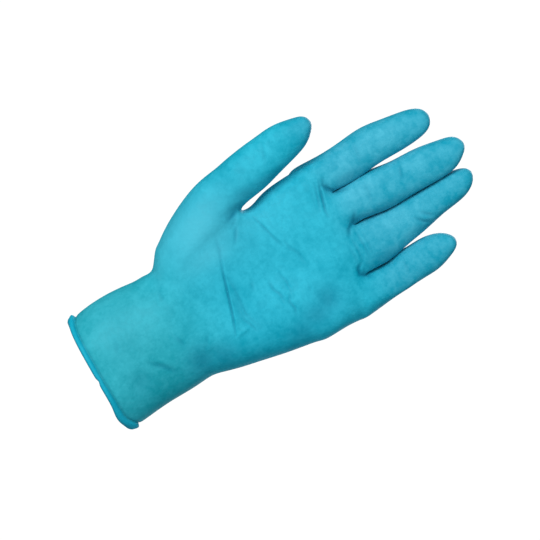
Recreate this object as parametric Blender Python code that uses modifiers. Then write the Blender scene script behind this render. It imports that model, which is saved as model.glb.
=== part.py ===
"""Nitrile exam glove, one hollow film in the form that it has when it is worn.

+Z runs from the rim of the cuff to the middle fingertip. The palm faces -Y, the thumb is
at -X and the little finger at +X. The origin is the centre of the wrist opening.
"""
from collections import namedtuple
import math

import bmesh
import bpy
from mathutils import Vector

# Lengths along the glove, in metres
CUFF_LENGTH = 0.055
CROTCH_RISE = 0.061
PALM_LENGTH = 0.109
THUMB_LENGTH = 0.057
INDEX_LENGTH = 0.0672
MIDDLE_LENGTH = 0.076
RING_LENGTH = 0.072
LITTLE_LENGTH = 0.0461

# Widths and depths
RIM_WIDTH = 0.0694
RIM_DEPTH = 0.046
WRIST_WIDTH = 0.0662
WRIST_DEPTH = 0.041
PALM_WIDTH = 0.0898
PALM_DEPTH = 0.029
THUMB_REACH = 0.071
THUMB_WIDTH = 0.0255
THUMB_DEPTH = 0.021
THUMB_FORWARD = 0.009
INDEX_WIDTH = 0.0227
INDEX_DEPTH = 0.0195
MIDDLE_WIDTH = 0.0232
MIDDLE_DEPTH = 0.0205
RING_WIDTH = 0.0235
RING_DEPTH = 0.0195
LITTLE_WIDTH = 0.0198
LITTLE_DEPTH = 0.0175

# How far each tip comes forward of its own base
THUMB_CURL = 0.007
INDEX_CURL = 0.006
MIDDLE_CURL = 0.010
RING_CURL = 0.007
LITTLE_CURL = 0.006

# The film, its rolled rim and the slit between fingers that touch
FILM = 0.001
BEAD_HEIGHT = 0.0030
BEAD_OUT = 0.0011
FINGER_SLIT = 0.0005
FINGER_ROLL = 0.16
WEB_DROP = 0.008

# Smoothing of the cage
CAGE_LEVELS = 1
FIT_ROUNDS = 8

COLLECTION = "nitrile_exam_glove"
NODE = "glove_shell"
BLUE = (0.030, 0.440, 0.610, 1.0)
ROUGHNESS = 0.45

# Rings of the cuff. Heights are shares of the cuff's length, sides are shares of half its
# width and depth, and flat goes from 0 for an oval to 1 for the hand's flat section.
CuffRow = namedtuple("CuffRow", "along left right depth flat")
CUFF_ROWS = (
    CuffRow(0.18, 1.02, 1.00, 1.00, 0.0),
    CuffRow(0.49, 1.065, 0.965, 1.00, 0.0),
    CuffRow(0.80, 1.045, 0.965, 1.00, 0.1),
    CuffRow(1.00, 1.048, 0.952, 1.00, 0.2),
)

# Rings from the wrist to the thumb's crotch. Flare goes from the wrist's side to the
# thumb's, spread from the wrist's other side to the palm's, thin from the wrist's depth to
# the palm's. Inner is the line that ends in the crotch, as a share of the thumb's reach.
HandRow = namedtuple("HandRow", "along flare spread thin inner flat")
HAND_ROWS = (
    HandRow(0.12, 0.187, 0.086, 0.10, 0.340, 0.35),
    HandRow(0.28, 0.419, 0.264, 0.25, 0.400, 0.55),
    HandRow(0.51, 0.639, 0.500, 0.45, 0.480, 0.75),
    HandRow(0.76, 0.802, 0.736, 0.70, 0.545, 0.90),
    HandRow(0.97, 0.865, 0.900, 0.85, 0.556, 1.00),
)

# Rings from the crotch to the finger webs. Sides and depths are shares of half the palm's.
PalmRow = namedtuple("PalmRow", "along left right depth")
PALM_ROWS = (
    PalmRow(0.13, 0.862, 1.006, 1.04),
    PalmRow(0.34, 0.920, 1.013, 1.00),
    PalmRow(0.58, 0.953, 1.010, 0.96),
    PalmRow(0.81, 0.976, 1.014, 0.90),
)

# Where each line of the cage crosses the palm, from its thumb side to the other side
PALM_COLUMNS = (0.0, 0.10, 0.23, 0.365, 0.50, 0.63, 0.76, 0.875, 0.965)

# Rings of a digit, as shares of its length, with depth as a share of its own depth
STATIONS = (0.10, 0.29, 0.47, 0.66, 0.84, 0.95)
FINGER_TAPER = (1.10, 1.00, 0.97, 0.92, 0.79, 0.58)
THUMB_TAPER = (1.10, 1.00, 0.96, 0.93, 0.80, 0.58)

# How far each side of a digit draws in at each ring, as a share of the digit's width. At
# nought the side lies on the line that the digit shares with its neighbour.
Digit = namedtuple("Digit", "length width depth curl base left right tip taper")
THUMB = Digit(
    THUMB_LENGTH, THUMB_WIDTH, THUMB_DEPTH, THUMB_CURL, -THUMB_FORWARD,
    left=(0.14, 0.07, 0.03, 0.008, 0.082, 0.15),
    right=(-0.157, -0.07, 0.035, 0.145, 0.28, 0.43),
    tip=0.34, taper=THUMB_TAPER)
FINGERS = (
    Digit(
        INDEX_LENGTH, INDEX_WIDTH, INDEX_DEPTH, INDEX_CURL, -0.0004,
        left=(0.084, 0.045, 0.005, 0.062, 0.16, 0.295),
        right=(0.0, 0.0, 0.018, 0.026, 0.066, 0.17),
        tip=0.555, taper=FINGER_TAPER),
    Digit(
        MIDDLE_LENGTH, MIDDLE_WIDTH, MIDDLE_DEPTH, MIDDLE_CURL, -0.0004,
        left=(0.0, 0.0, 0.06, 0.10, 0.194, 0.297),
        right=(0.0, 0.0, 0.0, 0.0, 0.0, 0.18),
        tip=0.56, taper=FINGER_TAPER),
    Digit(
        RING_LENGTH, RING_WIDTH, RING_DEPTH, RING_CURL, 0.0004,
        left=(0.0, 0.0, 0.0, 0.0, 0.0, 0.05),
        right=(-0.05, 0.030, 0.123, 0.26, 0.336, 0.494),
        tip=0.27, taper=FINGER_TAPER),
    Digit(
        LITTLE_LENGTH, LITTLE_WIDTH, LITTLE_DEPTH, LITTLE_CURL, 0.0004,
        left=(0.115, 0.050, 0.01, 0.005, 0.10, 0.27),
        right=(0.0, 0.0, 0.0, 0.025, 0.157, 0.30),
        tip=0.495, taper=FINGER_TAPER),
)

# Heights on the ring that the fingers grow from, as shares of the palm's length: the side
# of the index finger, the three webs and the side of the little finger
WEB_HEIGHTS = (0.965, 0.972, 0.990, 0.920, 0.900)
WEB_LEFT_SHARE = 0.985
WEB_RIGHT_SHARE = 1.012
WEB_DEPTH_SHARE = 0.32
FINGER_ROOT_SHARE = 0.60

# How much of the thumb's lean is left at the line that ends in the crotch
LEAN_AT_CROTCH = 0.2

# Swells and dents, as shares of half the palm's width, the palm's length and its depth.
# Across is from the glove's middle line, up from the wrist, and out is away from the film.
Swell = namedtuple("Swell", "side across up wide tall out")
SWELLS = (
    Swell("palm", -0.92, 0.33, 0.34, 0.24, 0.20),
    Swell("palm", 0.62, 0.27, 0.34, 0.26, 0.12),
    Swell("palm", 0.02, 0.56, 0.36, 0.20, -0.11),
    Swell("palm", -0.72, 0.88, 0.20, 0.09, 0.045),
    Swell("palm", -0.24, 0.90, 0.20, 0.09, 0.045),
    Swell("palm", 0.26, 0.88, 0.20, 0.09, 0.045),
    Swell("palm", 0.74, 0.80, 0.20, 0.10, 0.045),
    Swell("back", -0.72, 0.84, 0.15, 0.08, 0.05),
    Swell("back", -0.24, 0.88, 0.15, 0.08, 0.06),
    Swell("back", 0.26, 0.86, 0.15, 0.08, 0.05),
    Swell("back", 0.74, 0.78, 0.15, 0.08, 0.045),
)

# Folds, each a line of (across, up) points with the shares that the swells have
Fold = namedtuple("Fold", "side line wide deep")
FOLDS = (
    Fold("palm", ((-0.69, 0.39), (-0.36, 0.32), (-0.02, 0.285), (0.40, 0.225)), 0.07, 0.050),
    Fold("palm", ((-0.34, 0.32), (0.02, 0.32), (0.50, 0.35)), 0.06, 0.025),
    Fold("palm", ((-0.70, 0.49), (-0.58, 0.44)), 0.08, 0.045),
    Fold("palm", ((-0.71, 0.955), (-0.36, 0.905)), 0.06, 0.030),
    Fold("palm", ((0.13, -0.22), (0.48, -0.11)), 0.07, 0.035),
    Fold("palm", ((-0.02, 1.01), (0.06, 0.96)), 0.06, 0.030),
)

WEB_LINE = CUFF_LENGTH + PALM_LENGTH
CROTCH = CUFF_LENGTH + CROTCH_RISE


def clear_scene():
    for thing in list(bpy.data.objects):
        bpy.data.objects.remove(thing, do_unlink=True)


def mix(a, b, share):
    return a + (b - a) * share


def finger_lines():
    """X of the lines between the fingers, from the thumb side. The third is the middle."""
    index, middle, ring, little = (digit.width for digit in FINGERS)
    return (-middle - index, -middle, 0.0, ring, ring + little)


def oval_columns():
    """Shares across an oval ring of its thumb's two lines and the palm's nine."""
    return [(1 - math.cos(math.radians(15 * step))) / 2 for step in range(1, 12)]


def body_columns(left, inner, right, flat):
    """X of a body ring's lines, from thumb to little finger, without the two sides."""
    round_x = [mix(left, right, share) for share in oval_columns()]
    thumb_x = [mix(left, inner, share) for share in (0.22, 0.55)]
    palm_x = [mix(inner, right, share) for share in PALM_COLUMNS]
    return [mix(a, b, flat) for a, b in zip(round_x, thumb_x + palm_x)]


def half_depth(x, left, right, depth, flat):
    """Half the ring's depth at x, rounder for an oval and squarer for the flat hand."""
    power = mix(2.0, 2.7, flat)
    across = min(abs(2 * (x - left) / (right - left) - 1), 1.0)
    return depth / 2 * (1 - across ** power) ** (1 / power)


def body_ring(z, left, inner, right, depth, flat, forward=0.0, split=0.0):
    """Points of a ring of the body: thumb side, palm, little finger's side, back.

    The thumb's part leans forward, and split draws the palm's part into a form of its own.
    """
    front = []
    back = []
    for x in body_columns(left, inner, right, flat):
        lean = 0.0
        half = half_depth(x, left, right, depth, flat)
        if x > inner:
            half = mix(half, half_depth(x, inner, right, depth, flat), split)
        else:
            lean = -forward * mix(LEAN_AT_CROTCH, 1.0, (inner - x) / (inner - left))
        front.append(Vector((x, lean - half, z)))
        back.append(Vector((x, lean + half, z)))
    thumb_side = Vector((left, -forward, z))
    little_side = Vector((right, 0.0, z))
    return [thumb_side] + front + [little_side] + back[::-1]


def rim_rings():
    """Three rings behind the bead, at its foot, its middle and its top."""
    half_width = RIM_WIDTH / 2 - BEAD_OUT
    depth = RIM_DEPTH - 2 * BEAD_OUT
    return [
        body_ring(BEAD_HEIGHT * up, -half_width, 0.0, half_width, depth, 0.0)
        for up in (0.0, 0.5, 1.0)]


def cuff_rings():
    rings = []
    for row in CUFF_ROWS:
        half_width = mix(RIM_WIDTH, WRIST_WIDTH, row.along) / 2
        depth = mix(RIM_DEPTH, WRIST_DEPTH, row.along) * row.depth
        left = -half_width * row.left
        right = half_width * row.right
        inner = mix(left, right, 0.18)
        rings.append(body_ring(CUFF_LENGTH * row.along, left, inner, right, depth, row.flat))
    return rings


def hand_rings():
    wrist_left = WRIST_WIDTH / 2 * CUFF_ROWS[-1].left
    wrist_right = WRIST_WIDTH / 2 * CUFF_ROWS[-1].right
    rings = []
    for row in HAND_ROWS:
        left = -mix(wrist_left, THUMB_REACH, row.flare)
        right = mix(wrist_right, PALM_WIDTH / 2, row.spread)
        depth = mix(WRIST_DEPTH, PALM_DEPTH, row.thin)
        inner = -THUMB_REACH * row.inner
        z = CUFF_LENGTH + CROTCH_RISE * row.along
        forward = THUMB_FORWARD * row.along
        split = row.along ** 2
        rings.append(body_ring(z, left, inner, right, depth, row.flat, forward, split))
    return rings


def palm_columns(left, right):
    """X of the palm's nine lines above the crotch, from the fingers' own lines."""
    lines = finger_lines()
    spots = []
    for thumb_side, little_side in zip(lines, lines[1:]):
        spots += [thumb_side, (thumb_side + little_side) / 2]
    spots.append(lines[-1])
    spots[0] = mix(lines[0], lines[1], 0.13)
    spots[-1] = mix(lines[-1], lines[-2], 0.13)
    return [mix(left, right, (x - lines[0]) / (lines[-1] - lines[0])) for x in spots]


def palm_ring(row):
    """Points of a ring of the palm from the index finger's side, bent as the webs' ring is."""
    left = -PALM_WIDTH / 2 * row.left
    right = PALM_WIDTH / 2 * row.right
    depth = PALM_DEPTH * row.depth
    front = []
    back = []
    for x in palm_columns(left, right):
        half = half_depth(x, left, right, depth, 1.0)
        front.append(Vector((x, -half, 0.0)))
        back.append(Vector((x, half, 0.0)))
    ring = [Vector((left, 0.0, 0.0))] + front + [Vector((right, 0.0, 0.0))] + back[::-1]
    for point, above in zip(ring, web_ring()):
        point.z = mix(CROTCH, above.z, row.along)
    return ring


def web_ring():
    """Points of the ring that the fingers grow from, higher on the palm than on the back."""
    lines = finger_lines()
    columns = palm_columns(lines[0], lines[-1])
    heights = [CUFF_LENGTH + PALM_LENGTH * share for share in WEB_HEIGHTS]
    front = []
    back = []
    for place, x in enumerate(columns):
        if place % 2 == 0:
            z = heights[place // 2]
            depth = PALM_DEPTH * WEB_DEPTH_SHARE
        else:
            z = (heights[place // 2] + heights[place // 2 + 1]) / 2
            depth = FINGERS[place // 2].depth * FINGER_ROOT_SHARE
        roll = FINGER_ROLL * depth
        front.append(Vector((x + roll, -depth, z)))
        back.append(Vector((x - roll, depth, z - WEB_DROP)))
    index_x = -PALM_WIDTH / 2 * WEB_LEFT_SHARE
    little_x = PALM_WIDTH / 2 * WEB_RIGHT_SHARE
    index_side = Vector((index_x, 0.0, heights[0] - WEB_DROP / 2))
    little_side = Vector((little_x, 0.0, heights[-1] - WEB_DROP / 2))
    return [index_side] + front + [little_side] + back[::-1]


def web_middles():
    """The middles of the three webs, between their palm ends and their back ends."""
    lines = finger_lines()
    return [
        Vector((lines[place], 0.0, CUFF_LENGTH + PALM_LENGTH * WEB_HEIGHTS[place]))
        for place in (1, 2, 3)]


def digit_ring(digit, place, left_line, right_line, base_z, roll):
    """Eight points round a digit: side, palm three, side, back three."""
    along = STATIONS[place]
    left = left_line + digit.width * digit.left[place] + FINGER_SLIT / 2
    right = right_line - digit.width * digit.right[place] - FINGER_SLIT / 2
    middle = (left + right) / 2
    half_width = (right - left) / 2
    half = digit.depth * digit.taper[place] / 2
    y = digit.base - digit.curl * along ** 1.6
    z = base_z + digit.length * along
    left_square = 0.86 if digit.left[place] <= 0 and roll else 0.76
    right_square = 0.86 if digit.right[place] <= 0 and roll else 0.76
    outline = (
        (-1.0, 0.0), (-left_square, -0.72), (0.0, -1.0), (right_square, -0.72),
        (1.0, 0.0), (right_square, 0.72), (0.0, 1.0), (-left_square, 0.72))
    return [
        Vector((middle + half_width * across - roll * half * deep, y + half * deep, z))
        for across, deep in outline]


def digit_tip(digit, left_line, base_z):
    x = left_line + digit.width * digit.tip
    return Vector((x, digit.base - digit.curl, base_z + digit.length))


def grow(bm, ring, points, spots):
    """Extrudes a ring of vertices once, puts the new ring on its points and returns it."""
    edges = [bm.edges.get(pair) for pair in zip(ring, ring[1:] + ring[:1])]
    made = bmesh.ops.extrude_edge_only(bm, edges=edges)["geom"]
    fresh = {item for item in made if isinstance(item, bmesh.types.BMVert)}
    grown = []
    for vertex, point in zip(ring, points):
        above = next(e.other_vert(vertex) for e in vertex.link_edges if e.other_vert(vertex) in fresh)
        above.co = point
        spots[above] = point
        grown.append(above)
    return grown


def close_tip(bm, ring, point, spots):
    edges = [bm.edges.get(pair) for pair in zip(ring, ring[1:] + ring[:1])]
    cap = bmesh.ops.contextual_create(bm, geom=edges)["faces"]
    pole = bmesh.ops.poke(bm, faces=cap)["verts"][0]
    pole.co = point
    spots[pole] = point


def add_web(bm, palm_end, back_end, point, spots):
    """Joins the two ends of a web across the opening and returns its middle vertex."""
    middle = bm.verts.new(point)
    spots[middle] = point
    bm.edges.new((palm_end, middle))
    bm.edges.new((middle, back_end))
    return middle


def grow_digit(bm, ring, digit, left_line, right_line, base_z, roll, spots):
    for place in range(len(STATIONS)):
        points = digit_ring(digit, place, left_line, right_line, base_z, roll)
        ring = grow(bm, ring, points, spots)
    close_tip(bm, ring, digit_tip(digit, left_line, base_z), spots)


def build_body(bm, spots):
    """Rim, cuff, wrist and hand up to the crotch. Returns the top ring of 24 vertices."""
    rings = rim_rings() + cuff_rings() + hand_rings()
    ring = [bm.verts.new(point) for point in rings[0]]
    spots.update(zip(ring, rings[0]))
    for pair in zip(ring, ring[1:] + ring[:1]):
        bm.edges.new(pair)
    for points in rings[1:]:
        ring = grow(bm, ring, points, spots)
    return ring


def shape_crotch(ring, spots):
    """Draws the two ends of the thumb's web in from the palm and the back."""
    for vertex, depth, drop in ((ring[3], -0.42, 0.02), (ring[21], 0.30, 0.05)):
        spots[vertex].y = PALM_DEPTH * depth
        spots[vertex].z = CROTCH - PALM_LENGTH * drop
        vertex.co = spots[vertex]


def build_thumb_and_palm(bm, ring, spots):
    """Splits the body's top ring at the crotch and returns the ring of 20 at the webs."""
    shape_crotch(ring, spots)
    crotch_x = -THUMB_REACH * HAND_ROWS[-1].inner
    crotch = add_web(bm, ring[3], ring[21], Vector((crotch_x, -THUMB_FORWARD * 0.3, CROTCH)), spots)
    thumb_ring = ring[:4] + [crotch] + ring[21:]
    palm = [crotch] + ring[3:22]
    outer = -THUMB_REACH
    grow_digit(bm, thumb_ring, THUMB, outer, outer + THUMB_WIDTH, CROTCH, 0.0, spots)
    for row in PALM_ROWS:
        palm = grow(bm, palm, palm_ring(row), spots)
    return grow(bm, palm, web_ring(), spots)


def build_fingers(bm, ring, spots):
    """Splits the ring at the webs into four rings of eight and grows a finger from each."""
    lines = finger_lines()
    front = ring[1:10]
    back = ring[11:][::-1]
    sides = [ring[0]]
    for place, point in zip((2, 4, 6), web_middles()):
        sides.append(add_web(bm, front[place], back[place], point, spots))
    sides.append(ring[10])
    for number, digit in enumerate(FINGERS):
        first = 2 * number
        finger_ring = (
            [sides[number]] + front[first:first + 3]
            + [sides[number + 1]] + back[first:first + 3][::-1])
        grow_digit(
            bm, finger_ring, digit, lines[number], lines[number + 1], WEB_LINE, FINGER_ROLL, spots)


def smooth_point(vertex):
    """Where subdivision without end would put a vertex of the cage."""
    if vertex.is_boundary:
        rim = [e.other_vert(vertex).co for e in vertex.link_edges if e.is_boundary]
        return (vertex.co * 4 + rim[0] + rim[1]) / 6
    count = len(vertex.link_edges)
    centres = {face: face.calc_center_median() for face in vertex.link_faces}
    middles = [(vertex.co + e.other_vert(vertex).co) / 2 for e in vertex.link_edges]
    face_sum = sum(centres.values(), Vector())
    first = (face_sum / count + 2 * sum(middles, Vector()) / count + (count - 3) * vertex.co) / count
    edge_sum = Vector()
    for edge in vertex.link_edges:
        a, b = (centres[face] for face in edge.link_faces)
        edge_sum += (vertex.co + edge.other_vert(vertex).co + a + b) / 4
    return (count * count * first + 4 * edge_sum + face_sum) / (count * (count + 5))


def fit_cage(bm, spots):
    """Moves the cage out until its smooth surface goes through the rings' own points."""
    for _ in range(FIT_ROUNDS):
        moves = {vertex: spots[vertex] - smooth_point(vertex) for vertex in bm.verts}
        for vertex, move in moves.items():
            vertex.co += move


def build_cage():
    bm = bmesh.new()
    spots = {}
    body = build_body(bm, spots)
    webs = build_thumb_and_palm(bm, body, spots)
    build_fingers(bm, webs, spots)
    bmesh.ops.recalc_face_normals(bm, faces=bm.faces[:])
    fit_cage(bm, spots)
    mesh = bpy.data.meshes.new("glove_cage")
    bm.to_mesh(mesh)
    bm.free()
    return mesh


def modified(mesh, kind, **settings):
    """A new mesh with one modifier worked out."""
    holder = bpy.data.objects.new("glove_form", mesh)
    bpy.context.scene.collection.objects.link(holder)
    modifier = holder.modifiers.new("Form", kind)
    for name, value in settings.items():
        setattr(modifier, name, value)
    view = bpy.context.evaluated_depsgraph_get()
    result = bpy.data.meshes.new_from_object(holder.evaluated_get(view))
    bpy.data.objects.remove(holder)
    return result


def distance_to_line(point, line):
    """Distance in the palm's plane from a point to a line of several stretches."""
    nearest = math.inf
    for start, end in zip(line, line[1:]):
        stretch = end - start
        share = (point - start).dot(stretch) / stretch.length_squared
        nearest = min(nearest, (point - start - stretch * min(max(share, 0.0), 1.0)).length)
    return nearest


def palm_place(across, up):
    return Vector((PALM_WIDTH / 2 * across, CUFF_LENGTH + PALM_LENGTH * up))


def relief(place, side):
    """How far the film stands out at a place of the palm's plane, on one side."""
    height = 0.0
    for swell in SWELLS:
        if swell.side == side:
            middle = palm_place(swell.across, swell.up)
            across = (place.x - middle.x) / (PALM_WIDTH / 2 * swell.wide)
            up = (place.y - middle.y) / (PALM_LENGTH * swell.tall)
            height += PALM_DEPTH * swell.out * math.exp(-across * across - up * up)
    for fold in FOLDS:
        if fold.side == side:
            line = [palm_place(across, up) for across, up in fold.line]
            near = distance_to_line(place, line) / (PALM_WIDTH / 2 * fold.wide)
            height -= PALM_DEPTH * fold.deep * math.exp(-near * near)
    return height


def press_relief(mesh):
    """Moves the film forwards and backwards by its swells, dents and folds."""
    for vertex in mesh.vertices:
        facing = vertex.normal.y
        side = "palm" if facing < 0 else "back"
        place = Vector((vertex.co.x, vertex.co.z))
        vertex.co.y += facing * relief(place, side)


def roll_bead(mesh):
    """Swells the outer side of the rim into the rolled bead."""
    for vertex in mesh.vertices:
        up = vertex.co.z / BEAD_HEIGHT
        outward = Vector((vertex.co.x / RIM_WIDTH ** 2, vertex.co.y / RIM_DEPTH ** 2, 0.0)).normalized()
        if up < 1.0 and vertex.normal.dot(outward) > 0:
            vertex.co += outward * BEAD_OUT * math.sqrt(max(0.0, 1 - (2 * up - 1) ** 2))


def nitrile():
    material = bpy.data.materials.new("nitrile_blue")
    material.use_nodes = True
    shader = material.node_tree.nodes["Principled BSDF"]
    shader.inputs["Base Color"].default_value = BLUE
    shader.inputs["Roughness"].default_value = ROUGHNESS
    shader.inputs["Metallic"].default_value = 0.0
    return material


def build_glove():
    form = modified(build_cage(), "SUBSURF", levels=CAGE_LEVELS, render_levels=CAGE_LEVELS)
    press_relief(form)
    glove = modified(form, "SOLIDIFY", thickness=FILM, offset=-1.0, use_rim=True)
    roll_bead(glove)
    glove.name = NODE
    glove.materials.append(nitrile())
    glove.shade_smooth()
    return bpy.data.objects.new(NODE, glove)


def main():
    clear_scene()
    collection = bpy.data.collections.new(COLLECTION)
    bpy.context.scene.collection.children.link(collection)
    collection.objects.link(build_glove())


main()
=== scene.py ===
"""Looks of the nitrile exam glove: one thin film with its creases, wrinkles and rolled rim.

The film's form repeats the rings of the CAD shell. +Z runs from the rim to the middle
fingertip, the palm faces -Y, the thumb is at -X and the little finger at +X. Metres.
"""
from collections import namedtuple
import math

import bmesh
import bpy
from mathutils import Matrix, Vector, noise
import numpy as np


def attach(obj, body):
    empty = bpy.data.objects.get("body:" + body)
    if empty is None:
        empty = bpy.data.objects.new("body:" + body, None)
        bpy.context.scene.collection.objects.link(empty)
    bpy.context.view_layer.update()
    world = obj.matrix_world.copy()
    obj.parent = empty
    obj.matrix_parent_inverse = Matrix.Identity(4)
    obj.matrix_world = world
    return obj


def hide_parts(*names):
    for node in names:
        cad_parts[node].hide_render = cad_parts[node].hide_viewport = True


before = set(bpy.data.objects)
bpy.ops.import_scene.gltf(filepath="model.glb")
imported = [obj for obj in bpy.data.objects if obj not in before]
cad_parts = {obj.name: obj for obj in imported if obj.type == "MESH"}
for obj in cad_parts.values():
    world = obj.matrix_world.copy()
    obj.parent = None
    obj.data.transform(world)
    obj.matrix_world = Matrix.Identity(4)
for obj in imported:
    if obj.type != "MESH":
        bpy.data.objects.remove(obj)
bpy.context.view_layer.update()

NODE = "glove_shell"
MM = 0.001

# Lengths along the glove
CUFF_LENGTH = 0.055
CROTCH_RISE = 0.061
PALM_LENGTH = 0.109
THUMB_LENGTH = 0.057
INDEX_LENGTH = 0.0672
MIDDLE_LENGTH = 0.076
RING_LENGTH = 0.072
LITTLE_LENGTH = 0.0461

# Widths and depths
RIM_WIDTH = 0.0694
RIM_DEPTH = 0.046
WRIST_WIDTH = 0.0662
WRIST_DEPTH = 0.041
PALM_WIDTH = 0.0898
PALM_DEPTH = 0.029
THUMB_REACH = 0.071
THUMB_WIDTH = 0.0255
THUMB_DEPTH = 0.021
THUMB_FORWARD = 0.009
INDEX_WIDTH = 0.0227
INDEX_DEPTH = 0.0195
MIDDLE_WIDTH = 0.0232
MIDDLE_DEPTH = 0.0205
RING_WIDTH = 0.0235
RING_DEPTH = 0.0195
LITTLE_WIDTH = 0.0198
LITTLE_DEPTH = 0.0175

# How far each tip comes forward of its own base
THUMB_CURL = 0.007
INDEX_CURL = 0.006
MIDDLE_CURL = 0.010
RING_CURL = 0.007
LITTLE_CURL = 0.006

# The film, its rolled rim and the slit between fingers that touch, then how far the fingers
# turn on their own lines, as a share of their depth, and how far the webs drop to the back
WALL = 0.0006
BEAD_HEIGHT = 0.0030
BEAD_OUT = 0.0013
FINGER_SLIT = 0.0001
FINGER_ROLL = 0.16
WEB_DROP = 0.008

# How square a ring of the body is: an oval at the rim, a flat section at the palm
OVAL_POWER = 2.0
FLAT_POWER = 2.7

# Smoothing of the cage
CAGE_LEVELS = 3
FIT_ROUNDS = 8

# Rings of the cuff. Heights are shares of the cuff's length, sides are shares of half its
# width and depth, and flat goes from 0 for an oval to 1 for the palm's flat section.
CuffRow = namedtuple("CuffRow", "along left right depth flat")
CUFF_ROWS = (
    CuffRow(0.18, 1.02, 0.99, 1.00, 0.0),
    CuffRow(0.49, 1.072, 0.962, 1.00, 0.0),
    CuffRow(0.80, 1.045, 0.965, 1.00, 0.1),
    CuffRow(1.00, 1.048, 0.952, 1.00, 0.2),
)

# Rings from the wrist to the thumb's crotch. Flare goes from the wrist's side to the
# thumb's, spread from the wrist's other side to the palm's, thin from the wrist's depth to
# the palm's. Inner is the line that ends in the crotch, as a share of the thumb's reach.
HandRow = namedtuple("HandRow", "along flare spread thin inner flat")
HAND_ROWS = (
    HandRow(0.12, 0.187, 0.086, 0.10, 0.340, 0.35),
    HandRow(0.28, 0.419, 0.274, 0.25, 0.400, 0.55),
    HandRow(0.51, 0.639, 0.520, 0.45, 0.480, 0.75),
    HandRow(0.76, 0.802, 0.760, 0.70, 0.545, 0.90),
    HandRow(0.97, 0.865, 0.925, 0.85, 0.556, 1.00),
)

# Rings from the crotch to the finger webs. Sides and depths are shares of half the palm's.
PalmRow = namedtuple("PalmRow", "along left right depth")
PALM_ROWS = (
    PalmRow(0.13, 0.862, 1.010, 1.04),
    PalmRow(0.34, 0.920, 1.013, 1.00),
    PalmRow(0.58, 0.953, 1.010, 0.96),
    PalmRow(0.81, 0.966, 1.020, 0.90),
)

# Where the cage's lines cross the glove: the palm's nine from its thumb side to the other,
# the two between the thumb's outer side and its inner line, that inner line on the cuff, and
# how far in the palm's outermost lines lie above the crotch
PALM_COLUMNS = (0.0, 0.10, 0.23, 0.365, 0.50, 0.63, 0.76, 0.875, 0.965)
THUMB_COLUMNS = (0.22, 0.55)
CUFF_INNER_SHARE = 0.18
OUTERMOST_SHARE = 0.13

# Rings of a digit, as shares of its length, with depth as a share of its own depth
STATIONS = (0.10, 0.29, 0.47, 0.66, 0.84, 0.95)
FINGER_TAPER = (1.10, 1.00, 0.97, 0.92, 0.79, 0.58)
THUMB_TAPER = (1.10, 1.00, 0.96, 0.93, 0.80, 0.58)

# Corners of a digit's ring: how far across they lie beside a neighbour and where the digit is
# free, and how deep they lie. The curl grows with this power of the way along the digit.
CORNER_BESIDE = 0.86
CORNER_FREE = 0.76
CORNER_DEPTH = 0.72
CURL_POWER = 1.6

# How far each side of a digit draws in at each ring, as a share of the digit's width. At
# nought the side lies on the line that the digit shares with its neighbour.
Digit = namedtuple("Digit", "length width depth curl base left right tip taper")
THUMB = Digit(
    THUMB_LENGTH, THUMB_WIDTH, THUMB_DEPTH, THUMB_CURL, -THUMB_FORWARD,
    left=(0.14, 0.07, 0.03, 0.004, 0.070, 0.15),
    right=(-0.157, -0.09, 0.015, 0.130, 0.265, 0.45),
    tip=0.34, taper=THUMB_TAPER)
FINGERS = (
    Digit(
        INDEX_LENGTH, INDEX_WIDTH, INDEX_DEPTH, INDEX_CURL, -0.0004,
        left=(0.074, 0.038, 0.004, 0.080, 0.172, 0.30),
        right=(0.0, 0.0, 0.028, 0.030, 0.066, 0.175),
        tip=0.555, taper=FINGER_TAPER),
    Digit(
        MIDDLE_LENGTH, MIDDLE_WIDTH, MIDDLE_DEPTH, MIDDLE_CURL, -0.0004,
        left=(0.0, 0.0, 0.068, 0.10, 0.194, 0.297),
        right=(0.07, 0.0, 0.0, 0.0, 0.012, 0.20),
        tip=0.56, taper=FINGER_TAPER),
    Digit(
        RING_LENGTH, RING_WIDTH, RING_DEPTH, RING_CURL, 0.0004,
        left=(-0.069, 0.0, 0.0, 0.0, 0.0, 0.06),
        right=(-0.058, 0.020, 0.118, 0.245, 0.330, 0.490),
        tip=0.25, taper=FINGER_TAPER),
    Digit(
        LITTLE_LENGTH, LITTLE_WIDTH, LITTLE_DEPTH, LITTLE_CURL, 0.0004,
        left=(0.094, 0.030, 0.01, 0.005, 0.10, 0.27),
        right=(-0.02, 0.0, 0.004, 0.035, 0.165, 0.30),
        tip=0.495, taper=FINGER_TAPER),
)

# Heights on the ring that the fingers grow from, as shares of the palm's length: the side
# of the index finger, the three webs and the side of the little finger. The webs' palm ends
# are shifted across the palm. Places tell which of the palm's nine lines end in a web. The
# shares are of half the palm's width at the ring's two sides, of the palm's depth at the
# webs and of a finger's depth at its own middle.
WEB_HEIGHTS = (0.965, 0.992, 1.005, 0.930, 0.900)
WEB_SHIFTS = (-0.0006, -0.0032, 0.0008)
WEB_PLACES = (2, 4, 6)
WEB_LEFT_SHARE = 0.968
WEB_RIGHT_SHARE = 1.028
WEB_DEPTH_SHARE = 0.32
FINGER_ROOT_SHARE = 0.60

# How much of the thumb's lean is left at the line that ends in the crotch, and in the middle
# of the thumb's web
LEAN_AT_CROTCH = 0.2
LEAN_AT_WEB = 0.3

# The two ends of the thumb's web: their places on the body's top ring, how far forward or
# back they lie as shares of the palm's depth and how far down as shares of its length
CrotchEnd = namedtuple("CrotchEnd", "place depth drop")
PALM_END = CrotchEnd(3, -0.42, 0.02)
BACK_END = CrotchEnd(21, 0.30, 0.05)

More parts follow.
